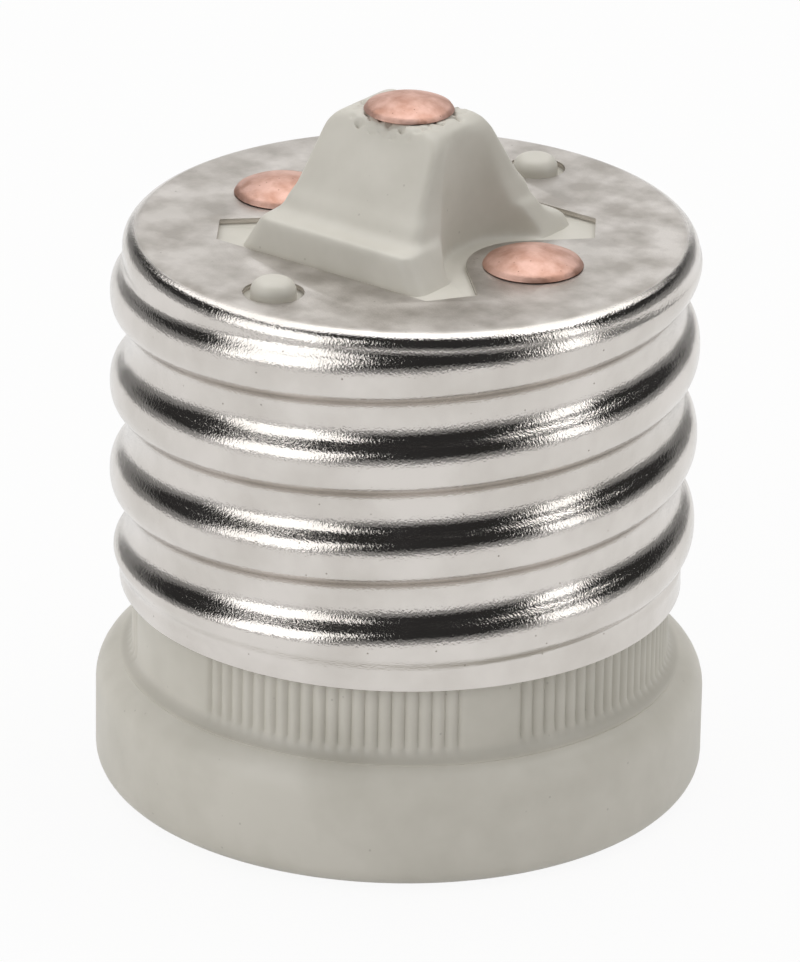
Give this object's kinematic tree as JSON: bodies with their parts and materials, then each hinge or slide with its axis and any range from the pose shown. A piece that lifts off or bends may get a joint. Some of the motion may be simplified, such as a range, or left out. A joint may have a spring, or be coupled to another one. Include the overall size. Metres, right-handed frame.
{
  "type": "lamp socket adapter",
  "caption": "Porcelain adapter that screws into a large lamp holder and takes a smaller screw lamp: rolled metal shell, ribbed neck, rounded collar and riveted contact nose.",
  "frame": {"origin": "centre of the mouth rim's plane, on the screw axis", "axes": "+Z along the screw axis towards the contact tip, X along the line of the shell rivets, Y along the line of the locating pips"},
  "size_m": [0.0408, 0.0408, 0.0477],
  "materials": {
    "porcelain": "matt, unglazed",
    "plated_shell": "bright plated sheet",
    "socket_brass": "satin",
    "copper": "satin"
  },
  "bodies": {
    "root": {"porcelain_body": "porcelain", "outer_screw_shell": "plated_shell", "socket_screw_shell": "socket_brass", "centre_contact": "socket_brass", "tip_rivet": "copper", "shell_rivets": "copper"}
  },
  "joints": []
}
